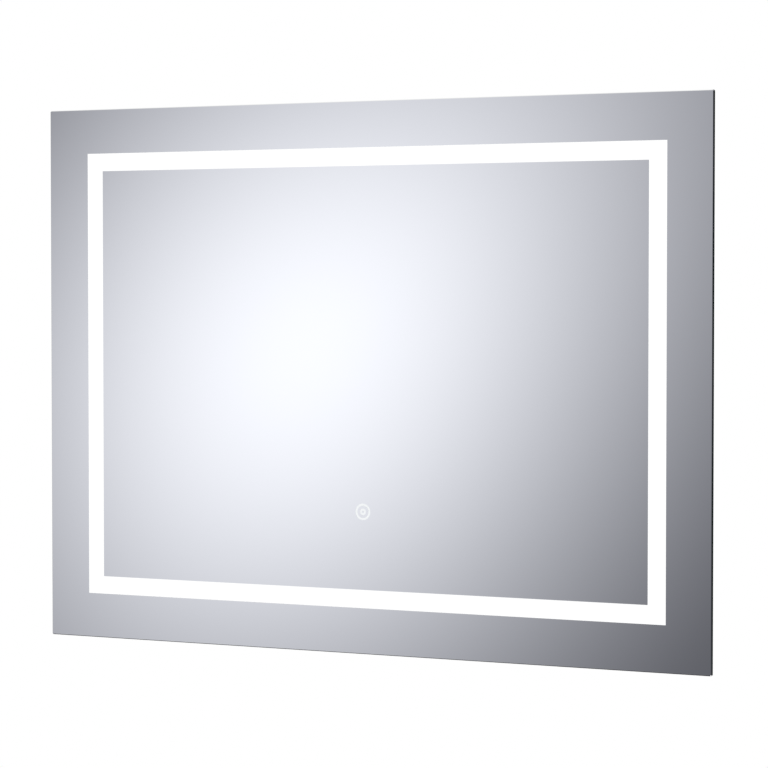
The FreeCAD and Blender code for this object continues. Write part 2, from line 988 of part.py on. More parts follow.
def lid_screw_places():
    reach = box_post_diameter / 2 + box_wall / 2
    return [
        (box_left + reach, service_row + box_width / 2 - reach),
        (box_right - reach, service_row - box_width / 2 + reach),
    ]


def gland_seat():
    return Vector(gland_x, plate_front - box_height / 2, box_bottom)


def box_lead_ends():
    """Where the mains, earth and demister leads leave the box: point, outward direction, diameter."""
    last_way = box_middle + terminal_pitch * (terminal_ways - 1) / 2
    return [
        (Vector(box_left, lead_layer, service_row), Vector(-1, 0, 0), mains_lead_diameter),
        (Vector(box_right, lead_layer, service_row), Vector(1, 0, 0), small_lead_diameter),
        (Vector(last_way, terminal_layer, box_bottom), Vector(0, 0, -1), small_lead_diameter),
    ]


def junction_lid():
    seat = plate_front - box_height
    lid = rounded_plate(
        box_left, box_right, seat - box_lid_thickness, seat,
        service_row - box_width / 2, service_row + box_width / 2, box_corner_radius,
    )
    lid = lid.makeChamfer(box_lid_thickness / 3, edges_in_plane(lid, seat - box_lid_thickness))
    holes = [
        flat_rod(Vector(x, seat - box_lid_thickness, z), Vector(0, 1, 0), screw_hole, box_lid_thickness)
        for x, z in lid_screw_places()
    ]
    return lid.cut(holes)


def lid_screws():
    """Screws put in from the pane's side."""
    seat = plate_front - box_height - box_lid_thickness
    tip = seat + box_lid_thickness + box_screw_length - screw_clearance
    shank = screw_diameter / 2
    head = screw_head_diameter / 2
    profile = [
        (head - screw_head_height / 3, seat - screw_head_height),
        (head, seat - screw_head_height / 2),
        (head, seat),
        (shank, seat),
        (shank, tip),
    ]
    return Part.makeCompound([flat_turned(profile, x, z) for x, z in lid_screw_places()])


def box_gland():
    """Cable gland under the junction box: a hexagon and its domed cap, bored through."""
    top = gland_seat()
    body = hexagon(top, Vector(0, 0, -1), gland_hex, gland_hex_length)
    cap = flat_rod(
        top - Vector(0, 0, gland_hex_length), Vector(0, 0, -1), gland_cap_diameter, gland_cap_length
    )
    rim = [
        edge for edge in cap.Edges
        if abs(edge.BoundBox.ZMax - (top.z - gland_hex_length - gland_cap_length)) < 1e-6
    ]
    cap = cap.makeChamfer((gland_cap_diameter - entry_bore) / 4, rim)
    bore = flat_rod(top, Vector(0, 0, -1), entry_bore, gland_hex_length + gland_cap_length)
    return body.fuse(cap).cut(bore)


def terminal_block():
    """Row of screw terminals on the junction box's floor."""
    low = service_row - terminal_width / 2
    high = service_row + terminal_width / 2
    left = box_middle - terminal_length / 2
    body = block(left, left + terminal_length, terminal_front, plate_front - box_wall, low, high)
    cutters = []
    for i in range(terminal_ways):
        x = left + terminal_pitch * (i + 1 / 2)
        wire_way = flat_rod(Vector(x, terminal_layer, low), Vector(0, 0, 1), terminal_bore, terminal_width)
        screw_way = flat_rod(
            Vector(x, terminal_front, service_row), Vector(0, 1, 0), terminal_bore, terminal_height / 2
        )
        cutters += [wire_way, screw_way]
    for i in range(1, terminal_ways):
        x = left + terminal_pitch * i - terminal_notch / 2
        cutters.append(block(
            x, x + terminal_notch, terminal_front, terminal_front + terminal_height / 3, low, high
        ))
    return body.cut(cutters)


def box_screws():
    """Screws through the back plate into the driver's feet and the junction box."""
    into_driver = plate_thickness + driver_foot_height
    into_box = plate_thickness + box_wall
    screws = [pan_screw(x, z, plate_back, into_driver) for x, z in driver_screw_places()]
    screws += [pan_screw(x, z, plate_back, into_box) for x, z in box_screw_places()]
    return Part.makeCompound(screws)


# ---- Demister and touch sensor, on the film ----

def demister_pad():
    return rounded_plate(
        -demister_side, demister_side, film_back, film_back + demister_thickness,
        demister_bottom, demister_top, demister_corner_radius,
    )


def demister_joint():
    """Moulded block where the demister's lead meets its foil."""
    seat = film_back + demister_thickness
    cover = block(
        joint_right - joint_length, joint_right, seat, seat + joint_height,
        joint_top - joint_width, joint_top,
    )
    cover = cover.makeChamfer(joint_height / 3, edges_along(cover, Vector(0, 1, 0)))
    return cover.makeChamfer(joint_height / 5, edges_in_plane(cover, seat + joint_height))


def sensor_sheet(y0, y1):
    half_length = sensor_board_length / 2
    half_width = sensor_board_width / 2
    return block(-half_length, half_length, y0, y1, mark_centre - half_width, mark_centre + half_width)


def sensor_pad():
    return sensor_sheet(film_back, film_back + sensor_pad_thickness)


def sensor_board():
    front = film_back + sensor_pad_thickness
    return sensor_sheet(front, front + sensor_board_thickness)


def sensor_cover():
    """Cover over the sensor board, open towards the pane."""
    reach = sensor_clearance + sensor_cover_wall
    half_length = sensor_board_length / 2 + reach
    half_width = sensor_board_width / 2 + reach
    top = film_back + sensor_cover_height
    cover = block(
        -half_length, half_length, film_back, top, mark_centre - half_width, mark_centre + half_width
    )
    cover = cover.makeChamfer(sensor_cover_wall, edges_along(cover, Vector(0, 1, 0)))
    cover = cover.makeChamfer(sensor_cover_wall / 2, edges_in_plane(cover, top))
    hollow_length = half_length - sensor_cover_wall
    hollow_width = half_width - sensor_cover_wall
    hollow = block(
        -hollow_length, hollow_length, film_back, top - sensor_cover_wall,
        mark_centre - hollow_width, mark_centre + hollow_width,
    )
    end = sensor_lead_end()
    hole = flat_rod(
        end - Vector(0, 0, 1.5 * sensor_cover_wall), Vector(0, 0, 1),
        small_lead_diameter + 2 * lead_clearance, 2 * sensor_cover_wall,
    )
    return cover.cut([hollow, hole])


def sensor_lead_end():
    """Where the sensor's lead leaves the top of its cover."""
    layer = film_back + sensor_pad_thickness + sensor_board_thickness + small_radius + lead_clearance
    top = mark_centre + sensor_board_width / 2 + sensor_clearance + sensor_cover_wall
    return Vector(0, layer, top)


# ---- Earth point, leads and their clips ----

def earth_stud():
    """Threaded stud pressed through the plate, with a flat head behind it and a collar in front."""
    shank = stud_diameter / 2
    collar = stud_collar_diameter / 2
    profile = [
        (collar, plate_back + plate_thickness),
        (collar, plate_back),
        (shank, plate_back),
        (shank, plate_front),
        (collar, plate_front),
        (collar, plate_front - stud_collar_height),
        (shank, plate_front - stud_collar_height),
        (shank, plate_front - stud_length),
    ]
    return flat_turned(profile, *earth_place())


def earth_nut():
    x, z = earth_place()
    seat = Vector(x, plate_front - stud_collar_height - eyelet_thickness, z)
    nut = hexagon(seat, Vector(0, -1, 0), nut_across_flats, nut_height)
    return nut.cut(flat_rod(seat, Vector(0, -1, 0), stud_diameter + 2 * screw_clearance, nut_height))


def earth_eyelet():
    """Crimped eyelet on the end of the earth lead, clamped under the nut."""
    x, z = earth_place()
    seat = plate_front - stud_collar_height
    towards_wall = Vector(0, 1, 0)
    ring = flat_rod(Vector(x, seat - eyelet_thickness, z), towards_wall, eyelet_diameter, eyelet_thickness)
    tongue_end = earth_lead_end()
    tongue = block(
        tongue_end.x, x, seat - eyelet_thickness, seat, z - small_radius, z + small_radius
    )
    barrel = flat_rod(tongue_end, Vector(1, 0, 0), eyelet_barrel, eyelet_barrel_length)
    barrel = barrel.cut(block(
        tongue_end.x, x, seat, plate_front, z - eyelet_barrel, z + eyelet_barrel
    ))
    hole = flat_rod(
        Vector(x, seat - eyelet_thickness, z), towards_wall,
        stud_diameter + 2 * screw_clearance, eyelet_thickness,
    )
    return ring.multiFuse([tongue, barrel]).cut(hole).removeSplitter()


def earth_lead_end():
    """Where the earth lead's wire enters the eyelet's barrel."""
    x, z = earth_place()
    layer = plate_front - stud_collar_height - eyelet_barrel / 2
    return Vector(x - eyelet_diameter / 2 - eyelet_barrel_length, layer, z)


def lead_routes():
    """Points and diameter of each inner lead, from its first box to its far end."""
    driver_mains, driver_led, driver_sensor = [end for end, _, _ in driver_lead_ends()]
    box_mains, box_earth, box_demister = [end for end, _, _ in box_lead_ends()]
    right = Vector(1, 0, 0)
    up = Vector(0, 0, 1)
    terminal_end = terminal_length / 2

    mains = [
        Vector(box_middle - terminal_end, lead_layer, service_row),
        box_mains - right * lead_exit,
        driver_mains + right * lead_exit,
        driver_mains,
    ]

    feed = feed_point()
    turn_in = feed + right * lead_exit
    led_run = driver_led.x - turn_in.x
    led = [
        driver_led,
        Vector(-bead_x - bead_width / 2 - led_lead_beyond_bead, lead_layer, driver_led.z),
        Vector(driver_led.x - led_run * 0.9, lead_layer, turn_in.z - led_lead_rise),
        turn_in,
        feed,
    ]

    cover_end = sensor_lead_end()
    run_height = driver_sensor.z - sensor_lead_drop
    sensor = [
        cover_end - up * (sensor_cover_wall + sensor_clearance + lead_tuck),
        cover_end + up * lead_exit,
        Vector(-lead_exit, lead_layer, run_height - lead_exit / 4),
        Vector(driver_sensor.x + lead_exit / 2, lead_layer, run_height),
        driver_sensor - right * lead_exit - up * lead_exit,
        driver_sensor - right * lead_exit,
        driver_sensor,
    ]

    joint_x = joint_right - joint_length / 2
    joint_end = Vector(joint_x, film_back + demister_thickness + joint_height / 2, joint_top)
    demister = [
        Vector(box_demister.x, terminal_layer, service_row - terminal_width / 2 + lead_tuck),
        box_demister - up * lead_exit,
        (box_demister + joint_end) * 0.5 - up * demister_lead_sag / 2,
        joint_end + up * demister_lead_sag,
        joint_end,
    ]

    eyelet = earth_lead_end()
    step = (eyelet.x - box_earth.x) / 3
    earth = [
        Vector(box_middle + terminal_end, lead_layer, service_row),
        box_earth + right * step,
        eyelet - right * step,
        eyelet,
    ]
    return {
        "mains_lead": (mains, mains_lead_diameter),
        "led_lead": (led, small_lead_diameter),
        "sensor_lead": (sensor, small_lead_diameter),
        "demister_lead": (demister, small_lead_diameter),
        "earth_lead": (earth, small_lead_diameter),
    }


def inner_leads():
    return {name: lead(name, *route) for name, route in lead_routes().items()}


def cable_clip(first, second, diameter):
    """Stick-on clip round the middle of a run that lies level over the plate."""
    run = second - first
    bore = diameter / 2 + lead_clearance
    half_width = bore + clip_wall
    half_length = clip_length / 2
    crown = -lead_height - bore - clip_wall / 2
    slot_half = clip_slot_share * diameter / 2
    clip = block(-half_length, half_length, crown, 0, -half_width, half_width)
    clip = clip.cut([
        flat_rod(Vector(-half_length, -lead_height, 0), Vector(1, 0, 0), 2 * bore, clip_length),
        block(-half_length, half_length, crown, -lead_height, -slot_half, slot_half),
    ])
    seat = (first + second) * 0.5
    seat.y = plate_front
    turn = -math.degrees(math.atan2(run.z, run.x))
    clip.Placement = FreeCAD.Placement(seat, FreeCAD.Rotation(Vector(0, 1, 0), turn))
    return clip


def cable_clips():
    routes = lead_routes()
    runs = [("mains_lead", 1), ("led_lead", 1), ("sensor_lead", 2)]
    clips = []
    for name, run in runs:
        points, diameter = routes[name]
        clips.append(cable_clip(points[run], points[run + 1], diameter))
    return Part.makeCompound(clips)


# ---- Write the parts ----

def all_parts():
    parts = {
        "mirror_glass": mirror_glass(),
        "safety_film": safety_film(),
        "corner_keys": corner_keys(),
        "strip_links": strip_links(),
        "back_plate": back_plate(),
        "plate_screws": plate_screws(),
        "cable_grommet": cable_grommet(),
        "wall_bumpers": wall_bumpers(),
        "wall_rail": wall_rail(),
        "hanging_cleat": hanging_cleat(),
        "cleat_rivets": cleat_rivets(),
        "driver_base": driver_base(),
        "driver_cover": driver_cover(),
        "junction_box": junction_box(),
        "junction_lid": junction_lid(),
        "lid_screws": lid_screws(),
        "box_gland": box_gland(),
        "box_screws": box_screws(),
        "terminal_block": terminal_block(),
        "demister_pad": demister_pad(),
        "demister_joint": demister_joint(),
        "sensor_pad": sensor_pad(),
        "sensor_board": sensor_board(),
        "sensor_cover": sensor_cover(),
        "earth_stud": earth_stud(),
        "earth_nut": earth_nut(),
        "earth_eyelet": earth_eyelet(),
        "cable_clips": cable_clips(),
    }
    parts.update(inner_leads())
    for side in sides:
        parts["bonding_tape_" + side] = bonding_tape(side)
        parts["frame_" + side] = frame_profile(side)
        parts["led_strip_" + side] = led_strip(side)
        parts["diffuser_" + side] = diffuser(side)
    return parts


os.makedirs("parts", exist_ok=True)
for name, shape in all_parts().items():
    shape.exportStep("parts/" + name + ".step")
    print(name, len(shape.Solids), "solids", round(shape.Volume), "mm3")
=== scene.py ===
import math

import bmesh
import bpy
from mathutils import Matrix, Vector


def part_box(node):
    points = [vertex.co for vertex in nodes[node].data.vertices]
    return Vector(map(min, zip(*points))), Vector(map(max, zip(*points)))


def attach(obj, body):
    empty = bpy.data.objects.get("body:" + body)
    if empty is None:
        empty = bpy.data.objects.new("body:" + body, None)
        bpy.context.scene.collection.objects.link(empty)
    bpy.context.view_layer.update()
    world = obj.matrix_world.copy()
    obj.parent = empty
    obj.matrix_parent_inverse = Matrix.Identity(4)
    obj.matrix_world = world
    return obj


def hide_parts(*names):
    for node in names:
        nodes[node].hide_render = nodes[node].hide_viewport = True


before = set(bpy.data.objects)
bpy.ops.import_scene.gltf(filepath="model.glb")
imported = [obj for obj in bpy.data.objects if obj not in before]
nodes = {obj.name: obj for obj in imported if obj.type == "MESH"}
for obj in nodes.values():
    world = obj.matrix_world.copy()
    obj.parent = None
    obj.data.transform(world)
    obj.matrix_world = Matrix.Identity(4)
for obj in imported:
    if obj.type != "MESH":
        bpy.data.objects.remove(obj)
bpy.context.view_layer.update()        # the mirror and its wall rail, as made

mm = 0.001
sheet = 1 * mm              # the back plate's thickness
weldGap = 0.002 * mm        # corners nearer than this are one corner
sideNames = ("bottom", "right", "top", "left")
print("frame loaded:", len(nodes), "pieces")


def newFinish(name):
    material = bpy.data.materials.new(name)
    material.use_nodes = True
    return material, material.node_tree, material.node_tree.nodes["Principled BSDF"]


def addNode(tree, kind, **settings):
    node = tree.nodes.new(kind)
    for name, value in settings.items():
        setattr(node, name, value)
    return node


def mathNode(tree, operation, *values):
    node = addNode(tree, "ShaderNodeMath", operation=operation)
    for index, value in enumerate(values):
        if isinstance(value, (int, float)):
            node.inputs[index].default_value = value
        else:
            tree.links.new(value, node.inputs[index])
    return node.outputs[0]


def mapped(tree, factor, low, high, start=0.0, end=1.0):
    node = addNode(tree, "ShaderNodeMapRange")
    node.inputs["From Min"].default_value = start
    node.inputs["From Max"].default_value = end
    node.inputs["To Min"].default_value = low
    node.inputs["To Max"].default_value = high
    tree.links.new(factor, node.inputs["Value"])
    return node.outputs["Result"]


camera = {
    "place": (1.3818, -2.7796, -0.0852),
    "turn": 26.338,     # degrees to the left of straight on
    "dip": 1.977,       # degrees below level
    "lens": 132.76,
    "sensorWidth": 36,
    "near": 0.05,
    "far": 100,
}
cameraData = bpy.data.cameras.new("camera")
cameraData.lens = camera["lens"]
cameraData.sensor_width = camera["sensorWidth"]
cameraData.clip_start = camera["near"]
cameraData.clip_end = camera["far"]
cameraObject = bpy.data.objects.new("camera", cameraData)
cameraObject.location = camera["place"]
cameraObject.rotation_euler = (math.radians(90 - camera["dip"]), 0, math.radians(camera["turn"]))
bpy.context.scene.collection.objects.link(cameraObject)
bpy.context.scene.camera = cameraObject
bpy.context.scene.view_settings.view_transform = "Standard"


def seenDirectly(tree):
    # 1 for what the eye, a reflection or glass sees, 0 for light that only bounces
    path = addNode(tree, "ShaderNodeLightPath")
    seen = mathNode(tree, "MAXIMUM", path.outputs["Is Camera Ray"], path.outputs["Is Glossy Ray"])
    return mathNode(tree, "MAXIMUM", seen, path.outputs["Is Transmission Ray"])


def makeRoom():
    room = {
        "light": 0.42,          # what falls on the object from all round
        "background": 1.0,
        "floorHeight": -1.25,
        "floorRadius": 3.0,
        "floorCorners": 128,
        "floorTone": 0.88,
        "floorRoughness": 0.8,
        "floorGlow": 0.16,      # keeps the open floor as pale as the background
    }
    world = bpy.data.worlds.new("room")
    world.use_nodes = True
    bpy.context.scene.world = world
    tree = world.node_tree
    background = tree.nodes["Background"]
    background.inputs["Color"].default_value = (1, 1, 1, 1)
    strength = mapped(tree, seenDirectly(tree), room["light"], room["background"])
    tree.links.new(strength, background.inputs["Strength"])

    material, tree, shader = newFinish("floorPaint")
    tone = room["floorTone"]
    shader.inputs["Base Color"].default_value = (tone, tone, tone, 1)
    shader.inputs["Roughness"].default_value = room["floorRoughness"]
    glow = addNode(tree, "ShaderNodeEmission")
    shown = mathNode(tree, "MULTIPLY", seenDirectly(tree), room["floorGlow"])
    tree.links.new(shown, glow.inputs["Strength"])
    both = addNode(tree, "ShaderNodeAddShader")
    tree.links.new(shader.outputs[0], both.inputs[0])
    tree.links.new(glow.outputs[0], both.inputs[1])
    tree.links.new(both.outputs[0], tree.nodes["Material Output"].inputs["Surface"])
    built = bmesh.new()
    bmesh.ops.create_circle(
        built, cap_ends=True, radius=room["floorRadius"], segments=room["floorCorners"],
    )
    mesh = bpy.data.meshes.new("floor")
    built.to_mesh(mesh)
    built.free()
    mesh.materials.append(material)
    floor = bpy.data.objects.new("floor", mesh)
    floor.location.z = room["floorHeight"]
    bpy.context.scene.collection.objects.link(floor)


def makeLamps():
    lamps = [
        {"name": "frontLamp", "place": (1.6, -2.6, 1.9), "size": 1.8, "power": 60},
        {"name": "leftLamp", "place": (-2.4, -1.8, 1.0), "size": 1.6, "power": 30},
        {"name": "backLamp", "place": (1.7, 2.4, 1.9), "size": 1.6, "power": 74},
        {"name": "backFill", "place": (-2.4, 2.2, 0.0), "size": 1.8, "power": 16},
    ]
    paneMiddle = Vector((0, 0, -0.185))
    for lamp in lamps:
        data = bpy.data.lights.new(lamp["name"], "AREA")
        data.shape = "DISK"
        data.size = lamp["size"]
        data.energy = lamp["power"]
        light = bpy.data.objects.new(lamp["name"], data)
        light.location = lamp["place"]
        aim = paneMiddle - light.location
        light.rotation_euler = aim.to_track_quat("-Z", "Y").to_euler()
        light.visible_glossy = False
        bpy.context.scene.collection.objects.link(light)


def hideFromAllButReflections(board):
    for ray in ("camera", "diffuse", "transmission", "volume_scatter", "shadow"):
        setattr(board, "visible_" + ray, False)


def softPool(tree, place, pool):
    # light, or shade where its level is below 0, that fades away from a spot on the screen
    offset = addNode(tree, "ShaderNodeVectorMath", operation="SUBTRACT")
    offset.inputs[1].default_value = (*pool["centre"], 0)
    tree.links.new(place, offset.inputs[0])
    squares = []
    for turn, spread in zip((0, math.pi / 2), pool["spread"]):
        angle = pool["tilt"] + turn
        along = addNode(tree, "ShaderNodeVectorMath", operation="DOT_PRODUCT")
        along.inputs[1].default_value = (math.cos(angle) / spread, math.sin(angle) / spread, 0)
        tree.links.new(offset.outputs["Vector"], along.inputs[0])
        squares.append(mathNode(tree, "MULTIPLY", along.outputs["Value"], along.outputs["Value"]))
    reach = mathNode(tree, "POWER", mathNode(tree, "ADD", *squares), pool["edge"])
    fade = mathNode(tree, "EXPONENT", mathNode(tree, "MULTIPLY", reach, -1.0))
    return mathNode(tree, "MULTIPLY", fade, pool["level"])


def makeReflectedScreen():
    # a glowing sheet that hangs in front of the pane and sweeps in under it, seen only in
    # reflections: its painted light and shade give the pane a painted reflection
    screen = {
        "plane": -2.0,
        "top": 20.0,
        "bendStart": -0.9,
        "bendRadius": 0.3,
        "bendSteps": 12,
        "foot": -0.4,
        "halfWidth": 30.0,
        "level": 0.3957,
        "pools": [              # painted pools of light and shade: places and spreads in metres on the unrolled sheet
            {"centre": (-0.936, -0.092), "spread": (1.18, 0.558), "tilt": 0.801, "edge": 0.9315,
             "level": 0.427},
            {"centre": (-1.193, -0.196), "spread": (0.71, 0.71), "tilt": 0, "edge": 1.0,
             "level": 0.576},
            {"centre": (-1.1, -0.18), "spread": (1.8, 1.8), "tilt": 0, "edge": 4.0,
             "level": -0.38},
            {"centre": (3.6, 1.2), "spread": (1.3, 1.8), "tilt": 0, "edge": 2.0,
             "level": 0.5},
        ],
        "least": 0.115,
        "leastBlend": 0.04,
        # painted shade that darkens the sheet towards its right-hand end
        "paintedShadeEnd": {"centre": (5.9, -0.4), "spread": (1.5, 2.4), "tilt": 0, "edge": 2.0,
                    "level": -0.365},
        "red": (0.9966, 1.0028),        # share and power of the level in each channel
        "green": (1.0101, 1.0),
        "blue": (1.0786, 0.9676),
    }
    radius, start = screen["bendRadius"], screen["bendStart"]
    profile = [(screen["plane"], screen["top"], screen["top"])]     # y, z and length along
    for step in range(screen["bendSteps"] + 1):
        angle = math.radians(90 * step / screen["bendSteps"])
        profile.append((
            screen["plane"] + radius * (1 - math.cos(angle)),
            start - radius * math.sin(angle),
            start - radius * angle,
        ))
    flat = screen["foot"] - profile[-1][0]
    profile.append((screen["foot"], profile[-1][1], profile[-1][2] - flat))

    built = bmesh.new()
    unrolled = built.loops.layers.uv.new("unrolled")
    half = screen["halfWidth"]
    for (y0, z0, v0), (y1, z1, v1) in zip(profile, profile[1:]):
        corners = ((-half, y0, z0), (half, y0, z0), (half, y1, z1), (-half, y1, z1))
        face = built.faces.new([built.verts.new(corner) for corner in corners])
        for loop, place in zip(face.loops, ((-half, v0), (half, v0), (half, v1), (-half, v1))):
            loop[unrolled].uv = place
    mesh = bpy.data.meshes.new("reflectedScreen")
    built.to_mesh(mesh)
    built.free()

    material, tree, shader = newFinish("screenPaintedLight")
    material.cycles.emission_sampling = "NONE"
    tree.nodes.remove(shader)
    place = addNode(tree, "ShaderNodeTexCoord").outputs["UV"]
    level = screen["level"]
    for pool in screen["pools"]:
        level = mathNode(tree, "ADD", softPool(tree, place, pool), level)
    level = mathNode(tree, "SMOOTH_MAX", level, screen["least"], screen["leastBlend"])
    level = mathNode(tree, "ADD", softPool(tree, place, screen["paintedShadeEnd"]), level)
    colour = addNode(tree, "ShaderNodeCombineColor")
    for channel in ("red", "green", "blue"):
        share, power = screen[channel]
        shown = mathNode(tree, "MULTIPLY", mathNode(tree, "POWER", level, power), share)
        tree.links.new(shown, colour.inputs[channel.capitalize()])
    glow = addNode(tree, "ShaderNodeEmission")
    tree.links.new(colour.outputs[0], glow.inputs["Color"])
    tree.links.new(glow.outputs[0], tree.nodes["Material Output"].inputs["Surface"])
    mesh.materials.append(material)
    board = bpy.data.objects.new("reflectedScreen", mesh)
    bpy.context.scene.collection.objects.link(board)
    hideFromAllButReflections(board)


def makeBoards():
    # glowing sheets of painted light and shade, seen only in reflections: three paint the
    # reflections in the pane's ground edges, two paint shade on the metal behind
    boards = [
        # near-black: painted shade in the reflection of the pane's lower edge
        {"name": "paintedShadeBelow", "levels": (0.004, 0.004),
         "low": (-1.8, -0.1, -1.19), "high": (1.2, 0.35, -1.19)},
        {"name": "paintedReflectionAbove", "levels": (0.85, 0.85),
         "low": (-3.2, -0.6, 3.0), "high": (0.4, 1.0, 3.0)},
        {"name": "paintedReflectionLeft", "levels": (0.3, 0.3),
         "low": (-3.0, 1.1, -1.15), "high": (-3.0, 2.2, 0.8)},
        {"name": "paintedShadeBehind", "levels": (0.35, 1.0),
         "low": (-4.0, 3.2, -1.2), "high": (4.0, 3.2, 3.4)},
        {"name": "paintedShadeUnder", "levels": (0.25, 0.35),
         "low": (-4.0, 0.7, -1.2), "high": (4.0, 3.2, -1.2)},
    ]
    for board in boards:
        (x0, y0, z0), (x1, y1, z1) = board["low"], board["high"]
        if z0 == z1:
            corners = [(x0, y0, z0), (x1, y0, z0), (x1, y1, z0), (x0, y1, z0)]
        else:
            corners = [(x0, y0, z0), (x1, y1, z0), (x1, y1, z1), (x0, y0, z1)]
        mesh = bpy.data.meshes.new(board["name"])
        mesh.from_pydata(corners, [], [(0, 1, 2, 3)])
        material, tree, shader = newFinish(board["name"])
        material.cycles.emission_sampling = "NONE"
        tree.nodes.remove(shader)
        split = addNode(tree, "ShaderNodeSeparateXYZ")
        tree.links.new(addNode(tree, "ShaderNodeTexCoord").outputs["Object"], split.inputs[0])
        axis, start, end = ("Y", y0, y1) if z0 == z1 else ("Z", z0, z1)
        level = mapped(tree, split.outputs[axis], *board["levels"], start, end)
        glow = addNode(tree, "ShaderNodeEmission")
        tree.links.new(level, glow.inputs["Strength"])
        tree.links.new(glow.outputs[0], tree.nodes["Material Output"].inputs["Surface"])
        mesh.materials.append(material)
        panel = bpy.data.objects.new(board["name"], mesh)
        bpy.context.scene.collection.objects.link(panel)
        hideFromAllButReflections(panel)


makeRoom()
makeLamps()
makeReflectedScreen()
makeBoards()
print("camera, room and lamps placed")


def grainAt(tree, scale, detail=4.0):
    # noise fixed to the piece, its grain given per metre along each axis
    roughness = 0.6
    place = addNode(tree, "ShaderNodeTexCoord")
    stretch = addNode(tree, "ShaderNodeMapping")
    stretch.inputs["Scale"].default_value = scale
    noise = addNode(tree, "ShaderNodeTexNoise")
    noise.inputs["Scale"].default_value = 1.0
    noise.inputs["Detail"].default_value = detail
    noise.inputs["Roughness"].default_value = roughness
    tree.links.new(place.outputs["Object"], stretch.inputs["Vector"])
    tree.links.new(stretch.outputs["Vector"], noise.inputs["Vector"])
    return noise.outputs["Fac"]


def tones(tree, factor, dark, light, low=0.3, high=0.7):
    ramp = addNode(tree, "ShaderNodeValToRGB")
    ramp.color_ramp.elements[0].position = low
    ramp.color_ramp.elements[1].position = high
    ramp.color_ramp.elements[0].color = (*dark, 1)
    ramp.color_ramp.elements[1].color = (*light, 1)
    tree.links.new(factor, ramp.inputs["Fac"])
    return ramp.outputs["Color"]


def blended(tree, factor, kind, first, second):
    # first where the factor is 0, second where it is 1
    mix = addNode(tree, "ShaderNodeMix", data_type=kind)
    sockets = [socket for socket in mix.inputs if socket.enabled and socket.name in ("A", "B")]
    for socket, value in zip(sockets, (first, second)):
        tree.links.new(value, socket)
    tree.links.new(factor, mix.inputs[0])
    return next(socket for socket in mix.outputs if socket.enabled)


def raised(tree, shader, height, depth):
    bump = addNode(tree, "ShaderNodeBump")
    bump.inputs["Strength"].default_value = 1.0
    bump.inputs["Distance"].default_value = depth
    tree.links.new(height, bump.inputs["Height"])
    tree.links.new(bump.outputs["Normal"], shader.inputs["Normal"])


def shade(colour, share):
    return tuple(min(1, channel * share) for channel in colour)


plainLook = {
    "metallic": 0, "gloss": 0.5, "roughSwing": 0.08,
    "patch": (9, 9, 9), "patchShare": 0.4, "patchDetail": 2.0,
}


def surfaceFinish(look):
    # fine grain in tone, roughness and relief, over broad uneven patches
    look = {**plainLook, **look}
    material, tree, shader = newFinish(look["name"])
    shader.inputs["Metallic"].default_value = look["metallic"]
    shader.inputs["Specular IOR Level"].default_value = look["gloss"]
    fine = grainAt(tree, look["grain"])
    broad = grainAt(tree, look["patch"], detail=look["patchDetail"])
    both = mathNode(tree, "MULTIPLY", fine, 1 - look["patchShare"])
    both = mathNode(tree, "MULTIPLY_ADD", broad, look["patchShare"], both)
    swing = look["toneSwing"]
    colour = tones(tree, both, shade(look["colour"], 1 - swing), shade(look["colour"], 1 + swing))
    tree.links.new(colour, shader.inputs["Base Color"])
    rough, roughSwing = look["roughness"], look["roughSwing"]
    uneven = mapped(tree, both, rough - roughSwing, rough + roughSwing)
    tree.links.new(uneven, shader.inputs["Roughness"])
    raised(tree, shader, fine, look["relief"])
    return material


def wear(finish, *names):
    for name in names:
        mesh = nodes[name].data
        mesh.materials.clear()
        mesh.materials.append(finish)


def onEachSide(prefix):
    return [prefix + side for side in sideNames]


def finishPiece(name, built, finish, body="mirror", stands=(), smoothAngle=35):
    mesh = bpy.data.meshes.new(name)
    bmesh.ops.recalc_face_normals(built, faces=built.faces)
    built.to_mesh(mesh)
    built.free()
    mesh.materials.append(finish)
    piece = bpy.data.objects.new(name, mesh)
    bpy.context.scene.collection.objects.link(piece)
    if smoothAngle:
        mesh.shade_smooth()
        mesh.set_sharp_from_angle(angle=math.radians(smoothAngle))
    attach(piece, body)
    if stands:
        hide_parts(*stands)
    return piece


def turnInto(built, profile, x, z, segments):
    # a closed turned form about the line through x and z, from (radius, y) points along its outside
    rings = []
    for radius, y in profile:
        count = segments if radius > 0 else 1
        rings.append([
            built.verts.new((
                x + radius * math.cos(2 * math.pi * i / segments), y,
                z + radius * math.sin(2 * math.pi * i / segments),
            ))
            for i in range(count)
        ])
    pairs = list(zip(rings, rings[1:]))
    if len(rings[0]) > 1 and len(rings[-1]) > 1:
        pairs.append((rings[-1], rings[0]))
    for first, second in pairs:
        for i in range(segments):
            j = (i + 1) % segments
            if len(first) == 1:
                built.faces.new((first[0], second[i], second[j]))
            elif len(second) == 1:
                built.faces.new((first[i], first[j], second[0]))
            else:
                built.faces.new((first[i], first[j], second[j], second[i]))


def arcPoints(centreRadius, centreY, reach, height, start, end):
    # an arc of an ellipse in the (radius, y) plane, its angles in degrees from straight out
    steps = 6
    points = []
    for i in range(steps + 1):
        angle = math.radians(start + (end - start) * i / steps)
        points.append((centreRadius + reach * math.cos(angle), centreY + height * math.sin(angle)))
    return points


